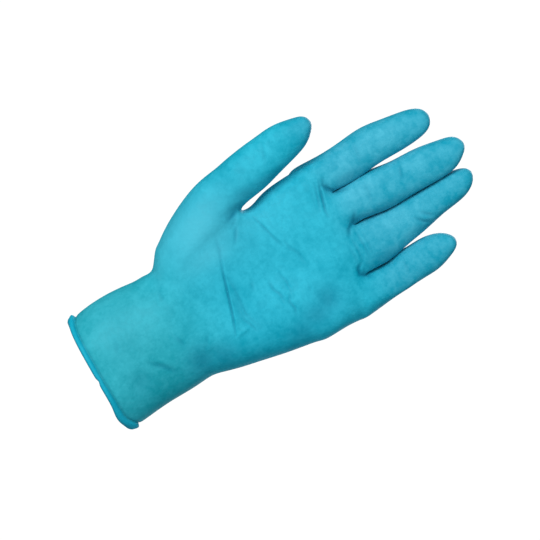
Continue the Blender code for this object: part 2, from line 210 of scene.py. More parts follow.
# Swells and dents of the film, in millimetres: where they lie on the palm's plane, how far
# they reach across and along it, how far the film stands out there and its shade: how much
# painted shade darkens its colour in a hollow or on a side turned from the light, and below
# nought how much it is lightened, as taut film is paler and as painted light where light falls
Swell = namedtuple("Swell", "x z wide tall out shade", defaults=(0.0,))
PALM_SWELLS = (
    Swell(-42.0, 90.0, 20.0, 28.0, 3.2, -0.75),
    Swell(-27.5, 88.0, 9.0, 20.0, 1.6, -0.60),
    Swell(-31.0, 102.0, 6.0, 8.0, 1.0),
    # Colour only: painted light on the cuff's thumb side, where the light falls
    Swell(-19.0, 26.0, 24.0, 24.0, 0.0, -0.25),
    Swell(27.8, 84.4, 15.3, 28.3, 3.5),
    Swell(0.9, 116.0, 16.2, 21.8, -3.2),
    Swell(-32.3, 150.9, 9.0, 9.8, 1.3),
    Swell(-10.8, 153.1, 9.0, 9.8, 1.3),
    Swell(11.7, 150.9, 9.0, 9.8, 1.3),
    Swell(33.2, 142.2, 9.0, 10.9, 1.3),
    Swell(21.5, 65.3, 5.0, 7.0, -0.7),
    Swell(22.0, 56.0, 9.0, 8.0, -1.6, 0.52),
    Swell(25.0, 68.0, 7.0, 8.5, -0.7, 0.45),
    Swell(16.0, 21.7, 7.0, 6.0, -1.2, 0.20),
    Swell(27.0, 133.0, 8.0, 8.0, -1.5, 0.48),
    Swell(31.0, 124.0, 6.5, 10.0, -0.5, 0.46),
    # Colour only: painted shade on the palm's little-finger edge
    Swell(35.0, 112.0, 6.0, 9.0, 0.0, 0.38),
    Swell(12.0, 108.0, 8.0, 9.0, 0.5),
    Swell(-41.0, 111.0, 2.6, 6.0, -0.8, 0.45),
    Swell(-41.0, 115.0, 3.5, 6.0, -0.2, 0.55),
    Swell(-46.5, 122.0, 3.0, 8.0, 0.0, 0.42),
    Swell(6.0, 87.6, 9.0, 2.3, -0.45, 0.25),
    Swell(-26.0, 162.6, 3.6, 2.0, -0.4, 0.60),
    Swell(-3.6, 166.8, 2.2, 2.6, -0.2, 0.50),
    Swell(24.0, 156.4, 3.2, 2.4, -0.3, 0.50),
    # Colour only: painted shade along the sides of the fingers and thumb turned from the light
    Swell(-25.6, 177.0, 2.8, 12.0, 0.0, 0.45),
    Swell(-1.4, 187.0, 2.8, 18.0, 0.0, 0.42),
    Swell(21.6, 171.0, 3.0, 10.0, 0.0, 0.42),
    Swell(18.2, 200.0, 2.6, 12.0, 0.0, 0.34),
    Swell(-47.0, 137.0, 2.6, 12.0, 0.0, 0.42),
)
BACK_SWELLS = (
    Swell(-32.3, 146.6, 6.7, 8.7, 1.45),
    Swell(-10.8, 150.9, 6.7, 8.7, 1.75),
    Swell(11.7, 148.7, 6.7, 8.7, 1.45),
    Swell(33.2, 140.0, 6.7, 8.7, 1.3),
    Swell(-57.0, 150.0, 6.0, 6.0, 0.8),
    Swell(-34.0, 192.0, 6.5, 6.0, 0.8),
    Swell(-11.0, 197.0, 6.5, 6.0, 0.9),
    Swell(12.0, 192.0, 6.5, 6.0, 0.8),
    Swell(34.0, 181.0, 6.0, 5.5, 0.7),
)

# How far the film has to face the palm or the back, from nought to one, before the painted
# shade of its grooves and hollows and its unevenness show in full
PAINTED_SHADE_FACING = (0.05, 0.6)
UNEVEN_FACING = (0.0, 0.5)

# Bumps and notches of the film on the side of the thumb or the little finger, in
# millimetres: how high they lie, how far they reach along the glove and how far they stand out
Edge = namedtuple("Edge", "side z tall out")
EDGES = (
    Edge("thumb", 63.5, 3.2, 1.3),
    Edge("thumb", 57.6, 2.0, -0.4),
    Edge("thumb", 50.5, 4.0, 0.8),
    Edge("little", 72.0, 9.0, 0.25),
)

# How far the film has to face that side for them, and how far from the middle it has to lie
EDGE_FACING = (0.35, 0.95)
EDGE_FROM_MIDDLE = 20

# Creases of the film, in millimetres: points on the palm's plane, half the groove's width,
# its depth, which also sets the painted shade in the groove, and the height of the lip on its
# left as the line is followed
Crease = namedtuple("Crease", "line wide deep lip")
PALM_CREASES = (
    # ball of the thumb and its branch
    Crease(((-33, 96.5), (-24, 93.8), (-17, 91)), 0.9, 0.30, 0.12),
    Crease(((-20.5, 92.2), (-12, 89.3), (-3.3, 86.6), (8.4, 83.0), (19, 79.0)), 0.68, 0.80, 0.30),
    Crease(((-13.4, 89.9), (-8, 91), (-2, 90.8), (11.4, 89.8), (23, 93.2)), 1.0, 0.35, 0.15),
    Crease(((-3, 100.8), (3, 99.6)), 1.2, 0.25, 0.1),
    Crease(((19.8, 80), (18.4, 88.4)), 1.2, -0.70, 0.0),
    # hollow of the palm
    Crease(((-34, 119), (-28.2, 121), (-16.6, 123.9), (-11, 126)), 0.85, 0.42, 0.20),
    Crease(((-13, 128), (-8, 128.6), (-3, 131.5), (3, 131.8)), 0.9, 0.28, 0.15),
    Crease(((12, 127.8), (21.5, 126.2)), 1.1, 0.2, 0.1),
    Crease(((2, 109.6), (7, 109.2), (11.5, 111.4), (16, 111)), 0.9, 0.46, 0.25),
    Crease(((13.6, 116), (17.5, 113.6), (22, 114.6), (27, 113)), 0.9, 0.40, 0.20),
    Crease(((1, 116.4), (7, 118), (13, 117)), 0.9, 0.30, 0.15),
    Crease(((12, 86.6), (18, 89.2), (23, 90.6)), 0.8, 0.45, 0.30),
    Crease(((-34, 109.5), (-25, 103.6)), 1.1, 0.4, 0.2),
    Crease(((-39, 113), (-33, 106)), 1.1, 0.35, 0.2),
    Crease(((-41, 116), (-39.4, 111), (-37, 105.5)), 1.6, 0.8, 0.2),
    # roots of the fingers
    Crease(
        ((-32, 160.8), (-28, 159), (-21.5, 157.2), (-16, 155.4), (-12, 155.4)),
        0.85, 0.75, 0.35),
    Crease(((-31.5, 157.8), (-22.6, 155), (-17, 152.8)), 0.85, 0.4, 0.2),
    Crease(((-30, 154.6), (-22, 152)), 0.9, 0.2, 0.1),
    Crease(
        ((-20.6, 172), (-22.4, 165.8), (-25.4, 162.4), (-28.6, 161.4), (-31.6, 163)),
        1.2, 1.40, 0.3),
    Crease(((-7.2, 169.2), (-3.5, 166.5), (-0.6, 161.9), (3.2, 159.7)), 1.1, 0.85, 0.3),
    Crease(((3.4, 160.3), (13, 160.2), (23, 159.2)), 0.7, 0.32, 0.15),
    Crease(((1.5, 164.2), (11, 164.5), (20, 163.8)), 0.7, 0.30, 0.15),
    Crease(((4, 167.4), (12, 167.2), (20, 166.4)), 0.7, 0.18, 0.1),
    Crease(((6, 156.4), (14, 157.0), (21, 156.6)), 0.8, 0.18, 0.1),
    Crease(((18.6, 158.6), (20.8, 155.4), (24, 154.6), (28.4, 160.4)), 1.05, 1.15, 0.4),
    # joints of the fingers
    Crease(((-17.5, 203.4), (-9.5, 200.8)), 0.9, 0.35, 0.2),
    Crease(((-18, 181.6), (-6, 180.2)), 1.0, 0.2, 0.1),
    Crease(((-40, 187.6), (-29, 185.8)), 1.0, 0.2, 0.1),
    Crease(((12.5, 196.6), (16, 199.5), (20, 205)), 0.9, 0.75, 0.35),
    Crease(((10.5, 200.3), (16.5, 206)), 0.9, 0.40, 0.20),
    Crease(((29, 179.6), (37, 178.4)), 1.0, 0.2, 0.1),
    Crease(((-66, 143.6), (-54, 140.2)), 1.1, 0.25, 0.15),
    # wrist and cuff
    Crease(((7.8, 30), (13.4, 35.9), (20.4, 41.4)), 1.3, 0.45, 0.3),
    Crease(((2.4, 49.8), (10.4, 52.6)), 1.2, 0.3, 0.15),
    Crease(((10, 66.4), (18.6, 60.2)), 1.1, 0.25, 0.12),
    Crease(((-30, 57), (-22, 54.6), (-13, 54.4)), 1.5, 0.12, 0.06),
    Crease(((-12, 21), (-4, 17.4)), 1.4, 0.2, 0.1),
)
BACK_CREASES = (
    # wrist, ball of the thumb and knuckles
    Crease(((-24, 58), (-8, 55), (10, 56.5), (24, 60)), 1.4, 0.5, 0.25),
    Crease(((-16, 50), (2, 47.6), (18, 51)), 1.3, 0.35, 0.2),
    Crease(((-34, 92), (-28, 104), (-30, 116)), 1.5, 0.4, 0.2),
    Crease(((-22, 132), (-20, 142), (-22, 152)), 1.8, 0.45, 0.2),
    Crease(((0.5, 134), (0.5, 145), (1, 155)), 1.8, 0.45, 0.2),
    Crease(((22, 128), (23, 138), (23.5, 148)), 1.8, 0.45, 0.2),
)

# How deep a crease still is at its ends, and where its lip lies and how wide it is, as shares
# of the groove's half width
CREASE_END = 0.25
LIP_PLACE = 1.9
LIP_WIDTH = 1.3

# How near a crease the outer skin's faces are split, as shares of the groove's half width:
# once beside all creases, then once more beside those that are narrower than the limit
CREASE_REACHES = (2.5, 2.4)
NARROW_CREASE = 0.70

# Fine wrinkles that lie side by side, in millimetres: the middle of the patch, how far it
# reaches, the way that the wrinkles run from the X axis in degrees, their spacing and depth
Patch = namedtuple("Patch", "x z wide tall turn spacing deep")
PALM_PATCHES = (
    Patch(11, 159, 9, 6, 0, 2.2, 0.04),
    Patch(-23, 155, 9, 5, -15, 2.6, 0.05),
    Patch(14, 88, 11, 9, 25, 3.6, 0.05),
    Patch(-8, 118, 16, 14, 35, 4.4, 0.11),
    Patch(-22, 140, 14, 9, -25, 3.8, 0.08),
    Patch(18, 112, 14, 14, 20, 4.0, 0.11),
    Patch(-37, 106, 6, 7, 60, 2.6, 0.12),
    Patch(6, 48, 16, 7, 18, 3.6, 0.13),
    Patch(-14, 32, 18, 14, 75, 4.6, 0.07),
    Patch(-34, 60, 6, 6, 70, 3.0, 0.06),
    Patch(-34, 199, 8, 4, -8, 2.4, 0.06),
    Patch(-12, 202, 8, 4, -12, 2.4, 0.07),
    Patch(13, 201, 7, 4, 45, 2.4, 0.08),
)
BACK_PATCHES = (
    Patch(-34, 193, 8, 5, 0, 2.4, 0.16),
    Patch(-11, 198, 8, 5, 0, 2.4, 0.18),
    Patch(12, 193, 8, 5, 0, 2.4, 0.16),
    Patch(34, 182, 7, 4, 0, 2.2, 0.15),
    Patch(-56, 150, 8, 5, 10, 2.4, 0.15),
    Patch(0, 53, 22, 7, 4, 3.8, 0.18),
)

# What lies on each side of the glove
Side = namedtuple("Side", "swells creases patches")
PALM = Side(PALM_SWELLS, PALM_CREASES, PALM_PATCHES)
BACK = Side(BACK_SWELLS, BACK_CREASES, BACK_PATCHES)

# How far the fine wrinkles sway and over what run, as shares of their spacing, and how much
# flatter their tops are than their troughs
WRINKLE_SWAY = 0.35
WRINKLE_RUN = 1.7
WRINKLE_FLAT = 0.35

# The film's broad and fine unevenness: size of the waves and their height, and how far the
# fine waves' pattern is shifted from the broad one's
UNEVEN_SIZE = 0.014
UNEVEN_HEIGHT = 0.00022
FINE_SIZE = 0.0042
FINE_HEIGHT = 0.00005
FINE_SHIFT = Vector((7.0, 3.0, 5.0))

# The rolled rim: how the bead swells into a lobe at the corners of the flat cuff, each
# with its place round the rim in degrees from +X towards the palm, how far its thickest
# part lies towards its top and how far the film is drawn in above it
Lobe = namedtuple("Lobe", "turn reach height out lean pinch")
LOBES = (
    Lobe(6, 20, 0.0036, 0.0012, 0.0, 0.0006),
    Lobe(176, 15, 0.0026, 0.0013, 0.6, 0.0006),
)

# How far the film is drawn in all round above the bead, over what height and how far above
BEAD_PINCH = 0.00020
PINCH_REACH = 0.0008
PINCH_RISE = 0.6 * PINCH_REACH

# How the rim is lifted at its two corners and on the palm's side, where the thumb's corner
# lies round the rim and how far it reaches in degrees, between which X the little finger's
# corner rises, how far forward, as a share of half the depth, the palm's side is at its
# full lift, and how far up the cuff the lift fades out
THUMB_CORNER_LIFT = 0.0019
THUMB_CORNER_TURN = 180
THUMB_CORNER_REACH = 32
LITTLE_CORNER_LIFT = 0.0030
LITTLE_CORNER_SPAN = (0.028, 0.038)
PALM_RIM_LIFT = 0.0008
PALM_RIM_SHARE = 0.5
RIM_FADE = 0.022

# How dark the painted shade in the drawn-in line above the bead is beside the painted shade
# on the bead's underside, and how far up the bead the underside's shade fades out, as a share
# of the bead's height
PINCH_PAINTED_SHADE = 0.7
UNDERSIDE_SHARE = 0.45

# How the rim's lower edge rises and sags on the palm's side: where, how far across, how much
Wave = namedtuple("Wave", "x reach rise")
RIM_WAVES = (
    Wave(0.0032, 0.0016, 0.0007),
    Wave(0.0255, 0.0055, -0.0011),
)

# Colours of the film where its mottling is deepest and palest: palm, sleeve and fingers
PALM_BLUES = ((0.0040, 0.360, 0.480, 1), (0.0360, 0.505, 0.645, 1))
SLEEVE_BLUES = ((0.0080, 0.325, 0.385, 1), (0.0460, 0.455, 0.530, 1))
FINGER_BLUES = ((0.0060, 0.335, 0.465, 1), (0.0850, 0.485, 0.625, 1))

# Colours of the taut film, paler and with painted light where the light falls, of the painted
# shade in folds and hollows, of the rolled bead and of the painted shade in the lines above
# and below it, with how much of the last three shows
TAUT_AND_PAINTED_LIGHT_BLUE = (0.0900, 0.505, 0.625, 1)
PAINTED_SHADE_BLUE = (0.0010, 0.150, 0.250, 1)
BEAD_BLUE = (0.0010, 0.400, 0.570, 1)
BEAD_PAINTED_SHADE_BLUE = (0.0010, 0.140, 0.210, 1)
PAINTED_SHADE_SHARE = 0.85
BEAD_SHARE = 0.65
BEAD_PAINTED_SHADE_SHARE = 0.50

# Heights between which the sleeve's colour and the fingers' colour come in
SLEEVE_SPAN = (0.095, 0.030)
FINGER_SPAN = (0.150, 0.175)

# Sizes of the film's mottling and grain, the depth of its grain, and between which values of
# the noise a pattern goes from nought to one
CLOUD_SIZE = 0.022
MOTTLE_SIZE = 0.0048
STREAK_SIZE = 0.0034
STREAK_STRETCH = 0.22
STREAK_TURN = math.radians(60)
CRINKLE_SIZE = 0.0021
PEBBLE_SIZE = 0.0016
GRAIN_SIZE = 0.00035
GRAIN_DEPTH = 0.00012
WIDE_CONTRAST = (0.36, 0.64)
HIGH_CONTRAST = (0.38, 0.62)

# Floor: how far out, as shares of its radius, it starts to fade and is gone
FLOOR_DROP = 0.13
FLOOR_RADIUS = 0.42
FLOOR_FADE = (0.55, 0.97)
FLOOR_GREY = (0.86, 0.87, 0.88, 1)

# World: the white that the camera sees and the cyan that lights the glove
SEEN_WHITE = (1, 1, 1, 1)
SEEN_STRENGTH = 1.05
AROUND_CYAN = (0.12, 0.82, 1, 1)
AROUND_STRENGTH = 0.28

# Softboxes: which way each lies from the middle of the glove, how far, its side and power
Softbox = namedtuple("Softbox", "name direction distance size power")
SOFTBOXES = (
    Softbox("key", (-0.68, -0.95, 0.10), 1.8, 0.9, 22.0),
    Softbox("front", (0.05, -1.0, 0.20), 2.2, 1.4, 14.0),
    Softbox("back", (-0.10, 1.0, 0.60), 2.2, 1.6, 30.0),
    Softbox("side", (0.60, 1.0, 0.10), 2.2, 1.0, 4.0),
)

# Camera
CAMERA_DISTANCE = 2.6
SENSOR = 36.0
FRAME_WIDTH = 0.2975
FRAME_CENTRE = Vector((-0.0029, 0.0, 0.1131))
PHOTO_TILT = math.radians(60)

WEB_LINE = CUFF_LENGTH + PALM_LENGTH
CROTCH = CUFF_LENGTH + CROTCH_RISE


def mix(a, b, share):
    return a + (b - a) * share


def finger_lines():
    """X of the lines between the fingers, from the thumb side. The third is the middle."""
    index, middle, ring, little = (digit.width for digit in FINGERS)
    return (-middle - index, -middle, 0.0, ring, ring + little)


def oval_columns():
    """Shares across an oval ring of its eleven lines, 15 degrees apart round its front."""
    return [(1 - math.cos(math.radians(15 * step))) / 2 for step in range(1, 12)]


def body_columns(left, inner, right, flat):
    """X of a body ring's lines, from thumb to little finger, without the two sides."""
    round_x = [mix(left, right, share) for share in oval_columns()]
    thumb_x = [mix(left, inner, share) for share in THUMB_COLUMNS]
    palm_x = [mix(inner, right, share) for share in PALM_COLUMNS]
    return [mix(a, b, flat) for a, b in zip(round_x, thumb_x + palm_x)]


def half_depth(x, left, right, depth, flat):
    """Half the ring's depth at x, rounder for an oval and squarer for the flat palm."""
    power = mix(OVAL_POWER, FLAT_POWER, flat)
    across = min(abs(2 * (x - left) / (right - left) - 1), 1.0)
    return depth / 2 * (1 - across ** power) ** (1 / power)


def body_ring(z, left, inner, right, depth, flat, forward=0.0, split=0.0):
    """Points of a ring of the body: thumb side, palm, little finger's side, back.

    The thumb's part leans forward, and split draws the palm's part into a form of its own.
    """
    front = []
    back = []
    for x in body_columns(left, inner, right, flat):
        lean = 0.0
        half = half_depth(x, left, right, depth, flat)
        if x > inner:
            half = mix(half, half_depth(x, inner, right, depth, flat), split)
        else:
            lean = -forward * mix(LEAN_AT_CROTCH, 1.0, (inner - x) / (inner - left))
        front.append(Vector((x, lean - half, z)))
        back.append(Vector((x, lean + half, z)))
    thumb_side = Vector((left, -forward, z))
    little_side = Vector((right, 0.0, z))
    return [thumb_side] + front + [little_side] + back[::-1]


def rim_rings():
    """Three rings behind the bead, at its foot, its middle and its top."""
    half_width = RIM_WIDTH / 2 - BEAD_OUT
    depth = RIM_DEPTH - 2 * BEAD_OUT
    return [
        body_ring(BEAD_HEIGHT * up, -half_width, 0.0, half_width, depth, 0.0)
        for up in (0.0, 0.5, 1.0)]


def cuff_rings():
    rings = []
    for row in CUFF_ROWS:
        half_width = mix(RIM_WIDTH, WRIST_WIDTH, row.along) / 2
        depth = mix(RIM_DEPTH, WRIST_DEPTH, row.along) * row.depth
        left = -half_width * row.left
        right = half_width * row.right
        inner = mix(left, right, CUFF_INNER_SHARE)
        rings.append(body_ring(CUFF_LENGTH * row.along, left, inner, right, depth, row.flat))
    return rings


def hand_rings():
    wrist_left = WRIST_WIDTH / 2 * CUFF_ROWS[-1].left
    wrist_right = WRIST_WIDTH / 2 * CUFF_ROWS[-1].right
    rings = []
    for row in HAND_ROWS:
        left = -mix(wrist_left, THUMB_REACH, row.flare)
        right = mix(wrist_right, PALM_WIDTH / 2, row.spread)
        depth = mix(WRIST_DEPTH, PALM_DEPTH, row.thin)
        inner = -THUMB_REACH * row.inner
        z = CUFF_LENGTH + CROTCH_RISE * row.along
        forward = THUMB_FORWARD * row.along
        split = row.along ** 2
        rings.append(body_ring(z, left, inner, right, depth, row.flat, forward, split))
    return rings


def palm_columns(left, right):
    """X of the palm's nine lines above the crotch, from the fingers' own lines."""
    lines = finger_lines()
    spots = []
    for thumb_side, little_side in zip(lines, lines[1:]):
        spots += [thumb_side, (thumb_side + little_side) / 2]
    spots.append(lines[-1])
    spots[0] = mix(lines[0], lines[1], OUTERMOST_SHARE)
    spots[-1] = mix(lines[-1], lines[-2], OUTERMOST_SHARE)
    return [mix(left, right, (x - lines[0]) / (lines[-1] - lines[0])) for x in spots]


def palm_ring(row):
    """Points of a ring of the palm from the index finger's side, bent as the webs' ring is."""
    left = -PALM_WIDTH / 2 * row.left
    right = PALM_WIDTH / 2 * row.right
    depth = PALM_DEPTH * row.depth
    front = []
    back = []
    for x in palm_columns(left, right):
        half = half_depth(x, left, right, depth, 1.0)
        front.append(Vector((x, -half, 0.0)))
        back.append(Vector((x, half, 0.0)))
    ring = [Vector((left, 0.0, 0.0))] + front + [Vector((right, 0.0, 0.0))] + back[::-1]
    for point, above in zip(ring, web_ring()):
        point.z = mix(CROTCH, above.z, row.along)
    return ring


def web_ring():
    """Points of the ring that the fingers grow from, higher on the palm than on the back."""
    lines = finger_lines()
    columns = palm_columns(lines[0], lines[-1])
    heights = [CUFF_LENGTH + PALM_LENGTH * share for share in WEB_HEIGHTS]
    front = []
    back = []
    for place, x in enumerate(columns):
        if place % 2 == 0:
            z = heights[place // 2]
            depth = PALM_DEPTH * WEB_DEPTH_SHARE
        else:
            z = (heights[place // 2] + heights[place // 2 + 1]) / 2
            depth = FINGERS[place // 2].depth * FINGER_ROOT_SHARE
        roll = FINGER_ROLL * depth
        shift = WEB_SHIFTS[WEB_PLACES.index(place)] if place in WEB_PLACES else 0.0
        front.append(Vector((x + roll + shift, -depth, z)))
        back.append(Vector((x - roll, depth, z - WEB_DROP)))
    index_x = -PALM_WIDTH / 2 * WEB_LEFT_SHARE
    little_x = PALM_WIDTH / 2 * WEB_RIGHT_SHARE
    index_side = Vector((index_x, 0.0, heights[0] - WEB_DROP / 2))
    little_side = Vector((little_x, 0.0, heights[-1] - WEB_DROP / 2))
    return [index_side] + front + [little_side] + back[::-1]


def web_middles():
    """The middles of the three webs, between their palm ends and their back ends."""
    lines = finger_lines()
    return [
        Vector((lines[place], 0.0, CUFF_LENGTH + PALM_LENGTH * WEB_HEIGHTS[place]))
        for place in (1, 2, 3)]


def digit_ring(digit, place, left_line, right_line, base_z, roll):
    """Eight points round a digit: side, palm three, side, back three."""
    along = STATIONS[place]
    left = left_line + digit.width * digit.left[place] + FINGER_SLIT / 2
    right = right_line - digit.width * digit.right[place] - FINGER_SLIT / 2
    middle = (left + right) / 2
    half_width = (right - left) / 2
    half = digit.depth * digit.taper[place] / 2
    y = digit.base - digit.curl * along ** CURL_POWER
    z = base_z + digit.length * along
    left_corner = CORNER_BESIDE if digit.left[place] <= 0 and roll else CORNER_FREE
    right_corner = CORNER_BESIDE if digit.right[place] <= 0 and roll else CORNER_FREE
    outline = (
        (-1.0, 0.0), (-left_corner, -CORNER_DEPTH), (0.0, -1.0), (right_corner, -CORNER_DEPTH),
        (1.0, 0.0), (right_corner, CORNER_DEPTH), (0.0, 1.0), (-left_corner, CORNER_DEPTH))
    return [
        Vector((middle + half_width * across - roll * half * deep, y + half * deep, z))
        for across, deep in outline]


def digit_tip(digit, left_line, base_z):
    x = left_line + digit.width * digit.tip
    return Vector((x, digit.base - digit.curl, base_z + digit.length))


def ring_edges(bm, ring):
    return [bm.edges.get(pair) for pair in zip(ring, ring[1:] + ring[:1])]


def grow(bm, ring, points, spots):
    """Extrudes a ring of vertices once, puts the new ring on its points and returns it."""
    made = bmesh.ops.extrude_edge_only(bm, edges=ring_edges(bm, ring))["geom"]
    fresh = {item for item in made if isinstance(item, bmesh.types.BMVert)}
    grown = []
    for vertex, point in zip(ring, points):
        nearby = [edge.other_vert(vertex) for edge in vertex.link_edges]
        above = next(other for other in nearby if other in fresh)
        above.co = point
        spots[above] = point
        grown.append(above)
    return grown


def close_tip(bm, ring, point, spots):
    cap = bmesh.ops.contextual_create(bm, geom=ring_edges(bm, ring))["faces"]
    pole = bmesh.ops.poke(bm, faces=cap)["verts"][0]
    pole.co = point
    spots[pole] = point


def add_web(bm, palm_end, back_end, point, spots):
    """Joins the two ends of a web across the opening and returns its middle vertex."""
    middle = bm.verts.new(point)
    spots[middle] = point
    bm.edges.new((palm_end, middle))
    bm.edges.new((middle, back_end))
    return middle


def grow_digit(bm, ring, digit, left_line, right_line, base_z, roll, spots):
    for place in range(len(STATIONS)):
        points = digit_ring(digit, place, left_line, right_line, base_z, roll)
        ring = grow(bm, ring, points, spots)
    close_tip(bm, ring, digit_tip(digit, left_line, base_z), spots)


def build_body(bm, spots):
    """Rim, cuff, wrist and heel up to the crotch. Returns the top ring of 24 vertices."""
    rings = rim_rings() + cuff_rings() + hand_rings()
    ring = [bm.verts.new(point) for point in rings[0]]
    spots.update(zip(ring, rings[0]))
    for pair in zip(ring, ring[1:] + ring[:1]):
        bm.edges.new(pair)
    for points in rings[1:]:
        ring = grow(bm, ring, points, spots)
    return ring


def shape_crotch(ring, spots):
    """Draws the two ends of the thumb's web in from the palm and the back."""
    for end in (PALM_END, BACK_END):
        vertex = ring[end.place]
        spots[vertex].y = PALM_DEPTH * end.depth
        spots[vertex].z = CROTCH - PALM_LENGTH * end.drop
        vertex.co = spots[vertex]


def build_thumb_and_palm(bm, ring, spots):
    """Splits the body's top ring at the crotch and returns the ring of 20 at the webs."""
    shape_crotch(ring, spots)
    crotch_x = -THUMB_REACH * HAND_ROWS[-1].inner
    middle = Vector((crotch_x, -THUMB_FORWARD * LEAN_AT_WEB, CROTCH))
    crotch = add_web(bm, ring[PALM_END.place], ring[BACK_END.place], middle, spots)
    thumb_ring = ring[:PALM_END.place + 1] + [crotch] + ring[BACK_END.place:]
    palm = [crotch] + ring[PALM_END.place:BACK_END.place + 1]
    outer = -THUMB_REACH
    grow_digit(bm, thumb_ring, THUMB, outer, outer + THUMB_WIDTH, CROTCH, 0.0, spots)
    for row in PALM_ROWS:
        palm = grow(bm, palm, palm_ring(row), spots)
    return grow(bm, palm, web_ring(), spots)


def build_fingers(bm, ring, spots):
    """Splits the ring at the webs into four rings of eight and grows a finger from each."""
    lines = finger_lines()
    front = ring[1:10]
    back = ring[11:][::-1]
    sides = [ring[0]]
    for place, point in zip(WEB_PLACES, web_middles()):
        sides.append(add_web(bm, front[place], back[place], point, spots))
    sides.append(ring[10])
    for number, digit in enumerate(FINGERS):
        first = 2 * number
        finger_ring = (
            [sides[number]] + front[first:first + 3]
            + [sides[number + 1]] + back[first:first + 3][::-1])
        grow_digit(
            bm, finger_ring, digit, lines[number], lines[number + 1], WEB_LINE, FINGER_ROLL, spots)


def smooth_point(vertex):
    """Where subdivision without end would put a vertex of the cage."""
    if vertex.is_boundary:
        rim = [e.other_vert(vertex).co for e in vertex.link_edges if e.is_boundary]
        return (vertex.co * 4 + rim[0] + rim[1]) / 6
    count = len(vertex.link_edges)
    centres = {face: face.calc_center_median() for face in vertex.link_faces}
    middles = [(vertex.co + e.other_vert(vertex).co) / 2 for e in vertex.link_edges]
    face_sum = sum(centres.values(), Vector())
    middle_part = 2 * sum(middles, Vector()) / count
    first = (face_sum / count + middle_part + (count - 3) * vertex.co) / count
    edge_sum = Vector()
    for edge in vertex.link_edges:
        a, b = (centres[face] for face in edge.link_faces)
        edge_sum += (vertex.co + edge.other_vert(vertex).co + a + b) / 4
    return (count * count * first + 4 * edge_sum + face_sum) / (count * (count + 5))


def fit_cage(bm, spots):
    """Moves the cage out until its smooth surface goes through the rings' own points."""
    for _ in range(FIT_ROUNDS):
        moves = {vertex: spots[vertex] - smooth_point(vertex) for vertex in bm.verts}
        for vertex, move in moves.items():
            vertex.co += move


def build_cage():
    bm = bmesh.new()
    spots = {}
    body = build_body(bm, spots)
    webs = build_thumb_and_palm(bm, body, spots)
    build_fingers(bm, webs, spots)
    bmesh.ops.recalc_face_normals(bm, faces=bm.faces[:])
    fit_cage(bm, spots)
    mesh = bpy.data.meshes.new("glove_cage")
    bm.to_mesh(mesh)
    bm.free()
    return mesh


def modified(mesh, kind, **settings):
    """A new mesh with one modifier worked out."""
    holder = bpy.data.objects.new("glove_form", mesh)
    bpy.context.scene.collection.objects.link(holder)
    modifier = holder.modifiers.new("Form", kind)
    for name, value in settings.items():
        setattr(modifier, name, value)
    view = bpy.context.evaluated_depsgraph_get()
    result = bpy.data.meshes.new_from_object(holder.evaluated_get(view))
    bpy.data.objects.remove(holder)
    return result


def read_rows(items, name):
    """The three numbers that each item has under a name, one row for each item."""
    flat = np.empty(len(items) * 3, np.float32)
    items.foreach_get(name, flat)
    return flat.reshape(-1, 3).astype(float)


def write_points(mesh, points):
    mesh.vertices.foreach_set("co", points.astype(np.float32).ravel())
    mesh.update()


def write_values(mesh, name, values):
    attribute = mesh.attributes.new(name, "FLOAT", "POINT")
    attribute.data.foreach_set("value", values.astype(np.float32))


def write_vectors(mesh, name, vectors):
    attribute = mesh.attributes.new(name, "FLOAT_VECTOR", "POINT")
    attribute.data.foreach_set("vector", vectors.astype(np.float32).ravel())


def smoothstep(low, high, values):
    share = np.clip((values - low) / (high - low), 0.0, 1.0)
    return share * share * (3 - 2 * share)


def follow_line(places, line):
    """For each place, its distance from a line, which side it is on and its share along it."""
    line = np.array(line, float)
    steps = np.linalg.norm(np.diff(line, axis=0), axis=1)
    travelled = np.concatenate(([0.0], np.cumsum(steps))) / steps.sum()
    nearest = np.full(len(places), np.inf)
    side = np.zeros(len(places))
    along = np.zeros(len(places))
    for number, (start, end) in enumerate(zip(line, line[1:])):
        stretch = end - start
        offset = places - start
        share = np.clip(offset @ stretch / (stretch @ stretch), 0.0, 1.0)
        apart = offset - share[:, None] * stretch
        distance = np.linalg.norm(apart, axis=1)
        closer = distance < nearest
        nearest[closer] = distance[closer]
        turned = stretch[0] * offset[:, 1] - stretch[1] * offset[:, 0]
        side[closer] = np.sign(turned[closer])
        along[closer] = mix(travelled[number], travelled[number + 1], share[closer])
    return nearest, side, along


def crease_profile(crease, places):
    """Height of a crease at each place, in millimetres, and how deep in its groove it is, which
    sets the painted shade there.
    """
    nearest, side, along = follow_line(places, crease.line)
    fade = CREASE_END + (1 - CREASE_END) * np.sin(np.pi * along)
    groove_and_painted_shade = np.exp(-(nearest / crease.wide) ** 2) * fade
    signed = nearest * side
    lip = np.exp(-((signed - LIP_PLACE * crease.wide) / (LIP_WIDTH * crease.wide)) ** 2) * fade
    return crease.lip * lip - crease.deep * groove_and_painted_shade, groove_and_painted_shade * np.clip(crease.deep, 0.0, 1.0)


def patch_profile(patch, places):
    """Height of the fine wrinkles of a patch at each place, in millimetres."""
    offset = places - np.array((patch.x, patch.z))
    turn = math.radians(patch.turn)
    across = offset[:, 1] * math.cos(turn) - offset[:, 0] * math.sin(turn)
    along = offset[:, 0] * math.cos(turn) + offset[:, 1] * math.sin(turn)
    reach = np.exp(-(offset[:, 0] / patch.wide) ** 2 - (offset[:, 1] / patch.tall) ** 2)
    sway = WRINKLE_SWAY * patch.spacing * np.sin(along / (WRINKLE_RUN * patch.spacing))
    wave = np.sin(2 * np.pi * (across + sway) / patch.spacing)
    return patch.deep * reach * (wave - WRINKLE_FLAT * wave * wave)


def crease_distance(places, side, widest):
    """Distance to the nearest crease that is narrow enough, as a share of its half width."""
    distances = [
        follow_line(places, crease.line)[0] / crease.wide
        for crease in side.creases if crease.wide < widest]
    return np.min(distances + [np.full(len(places), np.inf)], axis=0)


